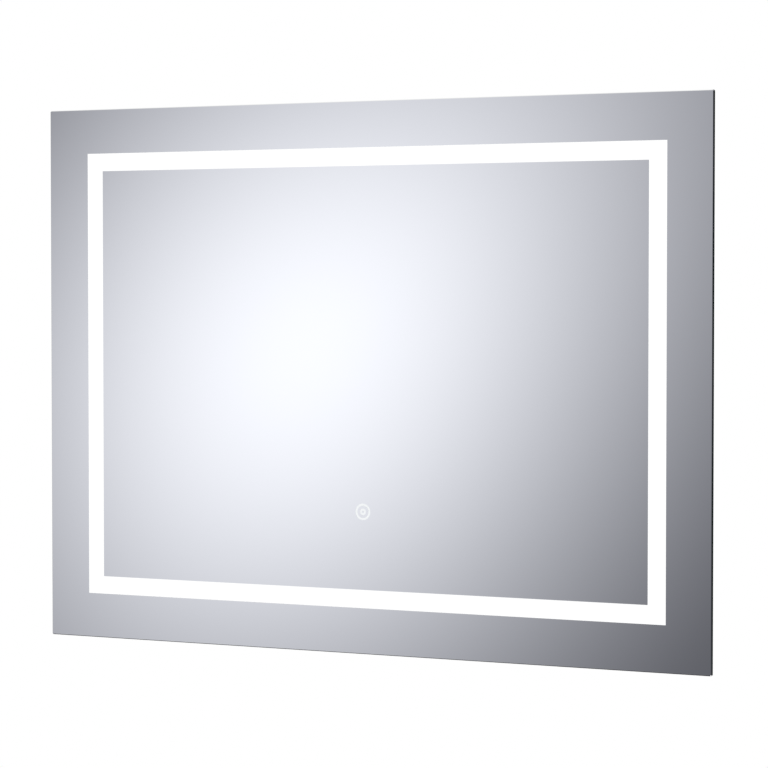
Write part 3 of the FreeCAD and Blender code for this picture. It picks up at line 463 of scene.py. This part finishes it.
def looseParts(name):
    # the lowest and highest corner of each separate solid in a node, in a steady order
    built = bmesh.new()
    built.from_mesh(nodes[name].data)
    bmesh.ops.remove_doubles(built, verts=built.verts, dist=weldGap)
    waiting = set(built.verts)
    found = []
    while waiting:
        group, reached = set(), [waiting.pop()]
        while reached:
            vert = reached.pop()
            group.add(vert)
            for link in vert.link_edges:
                other = link.other_vert(vert)
                if other in waiting:
                    waiting.discard(other)
                    reached.append(other)
        low = Vector([min(v.co[axis] for v in group) for axis in range(3)])
        high = Vector([max(v.co[axis] for v in group) for axis in range(3)])
        found.append((low, high))
    built.free()
    decimals = 5        # of a metre, so that noise in the last digits doesn't set the order
    return sorted(found, key=lambda pair: [round(value, decimals) for value in pair[0]])


def middleOf(low, high):
    return (low.x + high.x) / 2, (low.z + high.z) / 2


def silveredGlass():
    # silvered front with its ground arris, painted back, cut edges near-black: the glass's own dark
    # green darkened by painted shade, with no gloss
    pane = {
        # the edges' near-black is painted shade over the glass's own dark green
        "edge": ((0.005, 0.009, 0.008), 0.7, 1.3),      # colour, its darkest and lightest share
        "paint": ((0.2, 0.23, 0.26), 0.9, 1.1),
        "silver": ((0.985, 0.99, 0.985), 0.995, 1),
        "silverRoughness": (0.006, 0.016),
        "roughness": (0.3, 0.6),        # of the paint and the edges
        "facing": 0.6,                  # how far a surface looks along Y to be front or back
        "grain": (500, 500, 500), "detail": 3.0,
    }
    material, tree, shader = newFinish("silveredGlass")
    shader.inputs["Specular IOR Level"].default_value = 0
    split = addNode(tree, "ShaderNodeSeparateXYZ")
    tree.links.new(addNode(tree, "ShaderNodeNewGeometry").outputs["Normal"], split.inputs[0])
    front = mathNode(tree, "LESS_THAN", split.outputs["Y"], -pane["facing"])
    back = mathNode(tree, "GREATER_THAN", split.outputs["Y"], pane["facing"])
    cloud = grainAt(tree, pane["grain"], detail=pane["detail"])
    edge, paint, silver = [
        tones(tree, cloud, shade(base, darkest), shade(base, lightest))
        for base, darkest, lightest in (pane["edge"], pane["paint"], pane["silver"])
    ]
    colour = blended(tree, back, "RGBA", edge, paint)
    colour = blended(tree, front, "RGBA", colour, silver)
    tree.links.new(colour, shader.inputs["Base Color"])
    tree.links.new(front, shader.inputs["Metallic"])
    dull = mapped(tree, cloud, *pane["roughness"])
    polished = mapped(tree, cloud, *pane["silverRoughness"])
    tree.links.new(blended(tree, front, "FLOAT", dull, polished), shader.inputs["Roughness"])
    return material


litLook = {
    "grain": (1400, 1400, 1400), "gloss": 0.1, "roughness": (0.75, 0.95), "relief": 0.02 * mm,
}


def litFinish(look):
    # sandblasted glass or opal plastic with light behind it
    look = {**litLook, **look}
    material, tree, shader = newFinish(look["name"])
    material.cycles.emission_sampling = "NONE"
    frost = grainAt(tree, look["grain"])
    shader.inputs["Specular IOR Level"].default_value = look["gloss"]
    shader.inputs["Emission Strength"].default_value = look["glow"]
    lit = tones(tree, frost, shade(look["light"], 1 - look["swing"]), look["light"])
    body = tones(tree, frost, shade(look["body"], 1 - look["swing"]), look["body"])
    tree.links.new(lit, shader.inputs["Emission Color"])
    tree.links.new(body, shader.inputs["Base Color"])
    tree.links.new(mapped(tree, frost, *look["roughness"]), shader.inputs["Roughness"])
    raised(tree, shader, frost, look["relief"])
    return material


# how a frosted layer lies in its recess in the pane's face
frostLayer = {"below": 0.03 * mm, "thickness": 0.16 * mm, "gap": 0.02 * mm}


def makeLightBand():
    band = {
        "inset": 50 * mm, "width": 20 * mm,
        "frost": {"name": "litFrost", "light": (1, 1, 1), "body": (0.2, 0.2, 0.2), "glow": 0.84,
                  "swing": 0.015},
    }
    low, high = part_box("mirror_glass")
    front = low.y + frostLayer["below"]
    outer = band["inset"] + frostLayer["gap"]
    inner = band["inset"] + band["width"] - frostLayer["gap"]
    built = bmesh.new()
    loops = []
    for y in (front, front + frostLayer["thickness"]):
        for inset in (outer, inner):
            x0, x1, z0, z1 = low.x + inset, high.x - inset, low.z + inset, high.z - inset
            corners = ((x0, y, z0), (x1, y, z0), (x1, y, z1), (x0, y, z1))
            loops.append([built.verts.new(corner) for corner in corners])
    frontOuter, frontInner, backOuter, backInner = loops
    for first, second in (
        (frontOuter, frontInner), (frontInner, backInner),
        (backInner, backOuter), (backOuter, frontOuter),
    ):
        for i in range(4):
            j = (i + 1) % 4
            built.faces.new((first[i], first[j], second[j], second[i]))
    finishPiece("lightBand", built, litFinish(band["frost"]), smoothAngle=0)


def makeTouchMark():
    mark = {
        "centre": (0.0, -330 * mm),
        "rings": [(9.0 * mm, 6.6 * mm), (3.6 * mm, 1.2 * mm)],
        "segments": 72,
        "frost": {"name": "litMark", "light": (0.95, 0.98, 1), "body": (0.2, 0.2, 0.2),
                  "glow": 0.745, "swing": 0.03},
    }
    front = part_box("mirror_glass")[0].y + frostLayer["below"]
    back = front + frostLayer["thickness"]
    built = bmesh.new()
    for outer, inner in mark["rings"]:
        outer, inner = outer - frostLayer["gap"], inner + frostLayer["gap"]
        profile = [(inner, front), (outer, front), (outer, back), (inner, back)]
        turnInto(built, profile, *mark["centre"], mark["segments"])
    finishPiece("touchMark", built, litFinish(mark["frost"]))


wear(silveredGlass(), "mirror_glass")
makeLightBand()
makeTouchMark()
print("pane, band and mark done")


def finishLightParts():
    film = {"name": "filmBacking", "colour": (0.3, 0.34, 0.38), "roughness": 0.5, "gloss": 0.35,
            "grain": (420, 420, 420), "patch": (5, 5, 5), "toneSwing": 0.12, "relief": 0.02 * mm}
    tape = {"name": "foamTape", "colour": (0.08, 0.08, 0.085), "roughness": 0.9, "gloss": 0.2,
            "grain": (2600, 2600, 2600), "toneSwing": 0.3, "relief": 0.08 * mm}
    board = {"name": "ledBoard", "colour": (0.88, 0.88, 0.85), "roughness": 0.4,
             "grain": (900, 900, 900), "toneSwing": 0.04, "relief": 0.01 * mm}
    litBoard = {"name": "litBoard", "light": (1, 0.99, 0.95), "body": (0.8, 0.8, 0.76),
                "glow": 0.6, "swing": 0.06, "grain": (500, 500, 500)}
    litOpal = {"name": "litOpal", "light": (0.98, 0.98, 0.98), "body": (0.8, 0.8, 0.8),
               "glow": 0.4, "swing": 0.02, "grain": (1800, 1800, 1800)}
    wear(surfaceFinish(film), "safety_film")
    wear(surfaceFinish(tape), "sensor_pad", *onEachSide("bonding_tape_"))
    wear(surfaceFinish(board), "strip_links")
    wear(litFinish(litBoard), *onEachSide("led_strip_"))
    wear(litFinish(litOpal), *onEachSide("diffuser_"))


finishLightParts()
print("film, tape and light done")


def finishMetalParts():
    satin = {"name": "satinAcross", "colour": (0.68, 0.69, 0.7), "metallic": 1.0,
             "roughness": 0.36, "grain": (6, 1500, 1500), "toneSwing": 0.09, "roughSwing": 0.1,
             "relief": 0.006 * mm}
    satinUp = dict(satin, name="satinUp", grain=(1500, 1500, 6))
    mill = {"name": "millFinish", "colour": (0.6, 0.61, 0.62), "metallic": 1.0,
            "roughness": 0.42, "grain": (5, 900, 900), "patch": (14, 40, 40), "toneSwing": 0.14,
            "roughSwing": 0.14, "relief": 0.01 * mm}
    powder = {"name": "powderCoat", "colour": (0.5, 0.51, 0.52), "roughness": 0.5,
              "grain": (700, 700, 700), "patch": (6, 6, 6), "patchShare": 0.5, "toneSwing": 0.08,
              "roughSwing": 0.12, "relief": 0.06 * mm}
    zinc = {"name": "zincPlate", "colour": (0.6, 0.61, 0.62), "metallic": 1.0,
            "roughness": 0.34, "grain": (520, 520, 520), "toneSwing": 0.12, "roughSwing": 0.1,
            "relief": 0.008 * mm}
    wear(surfaceFinish(satin), "frame_bottom", "frame_top")
    wear(surfaceFinish(satinUp), "frame_left", "frame_right")
    wear(surfaceFinish(mill), "wall_rail", "hanging_cleat")
    wear(surfaceFinish(powder), "back_plate")
    wear(surfaceFinish(zinc), "corner_keys")


def threadPoints(shank, start, tip, thread):
    # thread ridges from the start to the blunt tip, as (radius, y) points
    pitch = thread["pitch"] * math.copysign(1, tip - start)
    points = []
    for turn in range(math.ceil((tip - start) / pitch) - 1):
        y = start + pitch * turn
        points += [(shank * thread["root"], y + pitch / 2), (shank, y + pitch)]
    return points + [(shank * thread["point"], tip), (0, tip)]


def screwInto(built, x, z, seat, crown, tip, screw):
    # domed head and threaded shank, the head on the crown's side of its seat
    head, shank, rim = screw["head"], screw["shank"], screw["rim"]
    rise = crown - seat
    dome = arcPoints(0, seat + rim * rise, head, (1 - rim) * rise, screw["domeStart"], 0)
    profile = [(0, crown), *dome, (head, seat), (shank, seat)]
    profile += threadPoints(shank, seat, tip, screw)
    turnInto(built, profile, x, z, screw["segments"])


def wedgeCutter(x, z, crown, recess, angles, way=1):
    # tapered wedges crossed about a head's middle, cut in from the side that way points to
    proud = 1 * mm      # how far the cutter stands out of the head
    mouth = {"y": crown + way * proud, "reach": 1.0, "width": 1.0}
    floor = {"y": crown - way * recess["depth"], "reach": 0.55, "width": 0.775}
    reach, width = recess["reach"], recess["width"] / 2
    cutter = bmesh.new()
    for angle in angles:
        corners = []
        for level in (mouth, floor):
            for a, b in ((-reach, -width), (reach, -width), (reach, width), (-reach, width)):
                a, b = a * level["reach"], b * level["width"]
                corners.append(cutter.verts.new((
                    x + a * math.cos(angle) - b * math.sin(angle), level["y"],
                    z + a * math.sin(angle) + b * math.cos(angle),
                )))
        top, bottom = corners[:4], corners[4:]
        cutter.faces.new(top)
        cutter.faces.new(list(reversed(bottom)))
        for i in range(4):
            j = (i + 1) % 4
            cutter.faces.new((top[i], bottom[i], bottom[j], top[j]))
    bmesh.ops.recalc_face_normals(cutter, faces=cutter.faces)
    mesh = bpy.data.meshes.new("recess")
    cutter.to_mesh(mesh)
    cutter.free()
    return mesh


def applyModifiers(piece):
    # the piece gets the shape that its modifiers give it, and keeps none of them
    bpy.context.view_layer.update()
    view = bpy.context.evaluated_depsgraph_get()
    shaped = bpy.data.meshes.new_from_object(piece.evaluated_get(view))
    piece.modifiers.clear()
    plain = piece.data
    piece.data = shaped
    bpy.data.meshes.remove(plain)


def carve(piece, meshes):
    # joins the cutters, takes them out of the piece and clears them away
    joined = bmesh.new()
    for mesh in meshes:
        joined.from_mesh(mesh)
        bpy.data.meshes.remove(mesh)
    mesh = bpy.data.meshes.new("recesses")
    joined.to_mesh(mesh)
    joined.free()
    cutter = bpy.data.objects.new("recesses", mesh)
    bpy.context.scene.collection.objects.link(cutter)
    cut = piece.modifiers.new("recesses", "BOOLEAN")
    cut.operation = "DIFFERENCE"
    cut.solver = "EXACT"
    cut.use_self = True
    cut.object = cutter
    applyModifiers(piece)
    bpy.data.objects.remove(cutter)
    bpy.data.meshes.remove(mesh)


def makeScrews():
    screw = {
        "head": 3.5 * mm, "rim": 0.3, "domeStart": 76, "segments": 32,
        "shank": 1.75 * mm, "pitch": 0.7 * mm, "root": 0.82, "point": 0.6,
        "recess": {"reach": 1.9 * mm, "width": 0.9 * mm, "depth": 1.4 * mm},
        "firstTurn": 0.4, "nextTurn": 0.9,      # each is done up to its own angle
    }
    finish = surfaceFinish({
        "name": "zincScrew", "colour": (0.58, 0.59, 0.6), "metallic": 1.0, "roughness": 0.26,
        "grain": (900, 900, 900), "toneSwing": 0.1, "roughSwing": 0.1, "relief": 0.006 * mm,
    })
    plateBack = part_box("back_plate")[1].y
    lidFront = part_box("junction_lid")[0].y
    for name, node, seat, way in (
        ("plateScrews", "plate_screws", plateBack, 1),
        ("boxScrews", "box_screws", plateBack, 1),
        ("lidScrews", "lid_screws", lidFront, -1),
    ):
        built = bmesh.new()
        cutters = []
        for number, (low, high) in enumerate(looseParts(node)):
            x, z = middleOf(low, high)
            crown, tip = (high.y, low.y) if way > 0 else (low.y, high.y)
            screwInto(built, x, z, seat, crown, tip, screw)
            turn = screw["firstTurn"] + screw["nextTurn"] * number
            cross = (turn, turn + math.pi / 2)
            cutters.append(wedgeCutter(x, z, crown, screw["recess"], cross, way))
        carve(finishPiece(name, built, finish, stands=(node,)), cutters)


def makeRivets():
    rivet = {
        "head": 3.25 * mm, "domeStart": 75, "flange": 2 * mm, "body": 1.6 * mm, "segments": 40,
        "bulb": 2.4 * mm, "bulbStart": 0.3 * mm, "bulbEnd": 1 * mm,
        "mandrel": 0.9 * mm, "sink": 0.4,       # the hollow's share of the head's height
    }
    finish = surfaceFinish({
        "name": "rivetMetal", "colour": (0.64, 0.65, 0.66), "metallic": 1.0, "roughness": 0.34,
        "grain": (1200, 1200, 1200), "toneSwing": 0.1, "relief": 0.006 * mm,
    })
    head, body, bulb, mandrel = rivet["head"], rivet["body"], rivet["bulb"], rivet["mandrel"]
    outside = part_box("back_plate")[1].y
    face = outside + rivet["flange"]
    inside = outside - sheet
    built = bmesh.new()
    for low, high in looseParts("cleat_rivets"):
        x, z = middleOf(low, high)
        rise = high.y - face
        hollow = high.y - rivet["sink"] * rise
        profile = [(0, hollow), (mandrel, hollow), (mandrel, high.y)]
        profile += arcPoints(mandrel, face, head - mandrel, rise, rivet["domeStart"], 0)
        profile += [
            (body, face), (body, inside), (bulb, inside - rivet["bulbStart"]),
            (bulb, low.y + rivet["bulbEnd"]), (body, low.y), (0, low.y),
        ]
        turnInto(built, profile, x, z, rivet["segments"])
    finishPiece("cleatRivets", built, finish, stands=("cleat_rivets",))


def makeEarthStud(brass):
    stud = {
        "head": 4.0 * mm, "soft": 0.3 * mm, "collar": 1.5 * mm, "segments": 40,
        "shank": 2.0 * mm, "pitch": 0.7 * mm, "root": 0.85, "point": 0.7,
        "slot": {"reach": 4.4 * mm, "width": 1.0 * mm, "depth": 0.5 * mm}, "slotTurn": 0.5,
    }
    head, shank, soft = stud["head"], stud["shank"], stud["soft"]
    low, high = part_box("earth_stud")
    x, z = middleOf(low, high)
    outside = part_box("back_plate")[1].y
    inside = outside - sheet
    collarEnd = inside - stud["collar"]
    profile = [(0, high.y)] + arcPoints(head - soft, high.y - soft, soft, soft, 90, 0)
    profile += [(head, outside), (shank, outside), (shank, inside)]
    profile += [(head, inside), (head, collarEnd), (shank, collarEnd)]
    profile += threadPoints(shank, collarEnd, low.y, stud)
    built = bmesh.new()
    turnInto(built, profile, x, z, stud["segments"])
    piece = finishPiece("earthStud", built, brass, stands=("earth_stud",))
    carve(piece, [wedgeCutter(x, z, high.y, stud["slot"], (stud["slotTurn"],))])


def makeRubberParts():
    rubber = surfaceFinish({
        "name": "blackRubber", "colour": (0.028, 0.028, 0.03), "roughness": 0.7, "gloss": 0.35,
        "grain": (1900, 1900, 1900), "toneSwing": 0.3, "roughSwing": 0.12, "relief": 0.03 * mm,
    })
    ring = {"bore": 4.2 * mm, "neck": 7.0 * mm, "flange": 10.0 * mm, "soft": 0.6 * mm,
            "segments": 64}
    flange, neck, bore, soft = ring["flange"], ring["neck"], ring["bore"], ring["soft"]
    low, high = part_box("cable_grommet")
    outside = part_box("back_plate")[1].y
    inside = outside - sheet
    profile = [(flange, inside), (neck, inside), (neck, outside), (flange, outside)]
    profile += arcPoints(flange - soft, high.y - soft, soft, soft, 0, 90)
    profile += arcPoints(bore + soft, high.y - soft, soft, soft, 90, 180)
    profile += arcPoints(bore + soft, low.y + soft, soft, soft, 180, 270)
    profile += arcPoints(flange - soft, low.y + soft, soft, soft, 270, 350)
    built = bmesh.new()
    turnInto(built, profile, *middleOf(low, high), ring["segments"])
    finishPiece("cableGrommet", built, rubber, stands=("cable_grommet",))

    bumper = {
        "base": 9.0 * mm, "tip": 7.0 * mm, "soft": 0.9 * mm, "shoulder": (80, 16),
        "dish": 0.6 * mm, "dishFloor": 0.55, "dishRim": 0.68,       # shares of the tip
        "foot": 0.5 * mm, "footTop": 0.9 * mm, "footStep": 0.2 * mm, "segments": 56,
    }
    tip, base, soft = bumper["tip"], bumper["base"], bumper["soft"]
    built = bmesh.new()
    for low, high in looseParts("wall_bumpers"):
        dish = high.y - bumper["dish"]
        profile = [(0, dish), (tip * bumper["dishFloor"], dish), (tip * bumper["dishRim"], high.y)]
        profile += arcPoints(tip - soft, high.y - soft, soft, soft, *bumper["shoulder"])
        profile += [
            (base - bumper["footStep"], low.y + bumper["footTop"]),
            (base, low.y + bumper["foot"]), (base, low.y), (0, low.y),
        ]
        turnInto(built, profile, *middleOf(low, high), bumper["segments"])
    finishPiece("wallBumpers", built, rubber, stands=("wall_bumpers",))


plainBrass = surfaceFinish({
    "name": "plainBrass", "colour": (0.66, 0.48, 0.2), "metallic": 1.0, "roughness": 0.3,
    "grain": (900, 900, 900), "toneSwing": 0.12, "relief": 0.008 * mm,
})
finishMetalParts()
makeScrews()
makeRivets()
makeEarthStud(plainBrass)
makeRubberParts()
print("frame, plate, hooks and fasteners done")


stripeLook = {
    "grain": (300, 300, 300), "ripple": 0.6, "blur": 0.08, "roughSwing": 0.08, "relief": 0.02 * mm,
}


def stripedFinish(look):
    # stripes laid along one direction, their edges slightly uneven
    look = {**stripeLook, **look}
    material, tree, shader = newFinish(look["name"])
    along = addNode(tree, "ShaderNodeVectorMath", operation="DOT_PRODUCT")
    along.inputs[1].default_value = Vector(look["direction"]).normalized()
    tree.links.new(addNode(tree, "ShaderNodeTexCoord").outputs["Object"], along.inputs[0])
    ripple = grainAt(tree, look["grain"])
    turn = mathNode(tree, "MULTIPLY", along.outputs["Value"], look["perMetre"] * 2 * math.pi)
    turn = mathNode(tree, "MULTIPLY_ADD", ripple, look["ripple"], turn)
    wave = mapped(tree, mathNode(tree, "SINE", turn), 0.0, 1.0, -1.0, 1.0)
    share, rough, swing = look["share"], look["roughness"], look["roughSwing"]
    colour = tones(tree, wave, look["ground"], look["stripe"], share, share + look["blur"])
    tree.links.new(colour, shader.inputs["Base Color"])
    tree.links.new(mapped(tree, ripple, rough - swing, rough + swing), shader.inputs["Roughness"])
    raised(tree, shader, ripple, look["relief"])
    return material


def makeLeads(sheath, earthSheath):
    # each lead keeps to its solid's route: the flats are rounded off, the ends stay square
    degrees = {"flat": 0.1, "pairTurn": 20, "pairShape": 60, "squareEnd": 70, "smooth": 60}
    leads = [
        ("mainsLead", "mains_lead", sheath, "white_sheath"),
        ("ledLead", "led_lead", sheath, "white_sheath"),
        ("sensorLead", "sensor_lead", sheath, "white_sheath"),
        ("demisterLead", "demister_lead", sheath, "white_sheath"),
        ("earthLead", "earth_lead", earthSheath, "earth_sheath"),
    ]
    for name, node, finish, slotName in leads:
        # bare corners and faces, without the normals that come with the node's mesh
        source = nodes[node].data
        built = bmesh.new()
        verts = [built.verts.new(vert.co) for vert in source.vertices]
        for polygon in source.polygons:
            built.faces.new([verts[index] for index in polygon.vertices])
        bmesh.ops.remove_doubles(built, verts=built.verts, dist=weldGap)
        bmesh.ops.dissolve_limit(
            built, angle_limit=math.radians(degrees["flat"]), verts=built.verts, edges=built.edges,
        )
        bmesh.ops.join_triangles(
            built, faces=built.faces,
            angle_face_threshold=math.radians(degrees["pairTurn"]),
            angle_shape_threshold=math.radians(degrees["pairShape"]),
        )
        crease = built.edges.layers.float.new("crease_edge")
        for edge in built.edges:
            if edge.calc_face_angle(0) > math.radians(degrees["squareEnd"]):
                edge[crease] = 1
        smooth = degrees["smooth"]
        piece = finishPiece(name, built, finish, stands=(node,), smoothAngle=smooth)
        piece.modifiers.new("rounding", "SUBSURF").levels = 1
        applyModifiers(piece)


def finishInnerParts():
    white = {"name": "whiteMoulding", "colour": (0.8, 0.8, 0.78), "roughness": 0.5,
             "grain": (2200, 2200, 2200), "toneSwing": 0.03, "relief": 0.02 * mm}
    grey = dict(white, name="greyMoulding", colour=(0.45, 0.47, 0.49), toneSwing=0.05)
    black = dict(white, name="blackMoulding", colour=(0.03, 0.03, 0.033), toneSwing=0.2)
    clear = dict(white, name="terminalMoulding", colour=(0.82, 0.82, 0.78), roughness=0.25,
                 grain=(800, 800, 800))
    sheath = dict(white, name="whiteSheath", colour=(0.78, 0.78, 0.76), grain=(700, 700, 700),
                  toneSwing=0.05)
    circuit = {"name": "greenBoard", "colour": (0.035, 0.2, 0.095), "roughness": 0.35,
               "grain": (420, 420, 420), "toneSwing": 0.25, "relief": 0.02 * mm}
    earth = {"name": "earthSheath", "ground": (0.1, 0.4, 0.09), "stripe": (0.75, 0.66, 0.08),
             "perMetre": 110, "direction": (1, 0, 0.6), "share": 0.5, "roughness": 0.48}
    heater = {"name": "heaterFoil", "ground": (0.7, 0.67, 0.58), "stripe": (0.3, 0.27, 0.22),
              "perMetre": 60, "direction": (0, 0, 1), "share": 0.7, "roughness": 0.4}
    wear(surfaceFinish(white), "driver_base", "driver_cover", "sensor_cover", "cable_clips")
    wear(surfaceFinish(grey), "junction_box", "junction_lid")
    wear(surfaceFinish(black), "box_gland", "demister_joint")
    wear(surfaceFinish(clear), "terminal_block")
    wear(surfaceFinish(circuit), "sensor_board")
    wear(plainBrass, "earth_nut", "earth_eyelet")
    wear(stripedFinish(heater), "demister_pad")
    makeLeads(surfaceFinish(sheath), stripedFinish(earth))


finishInnerParts()
print("inner parts done")
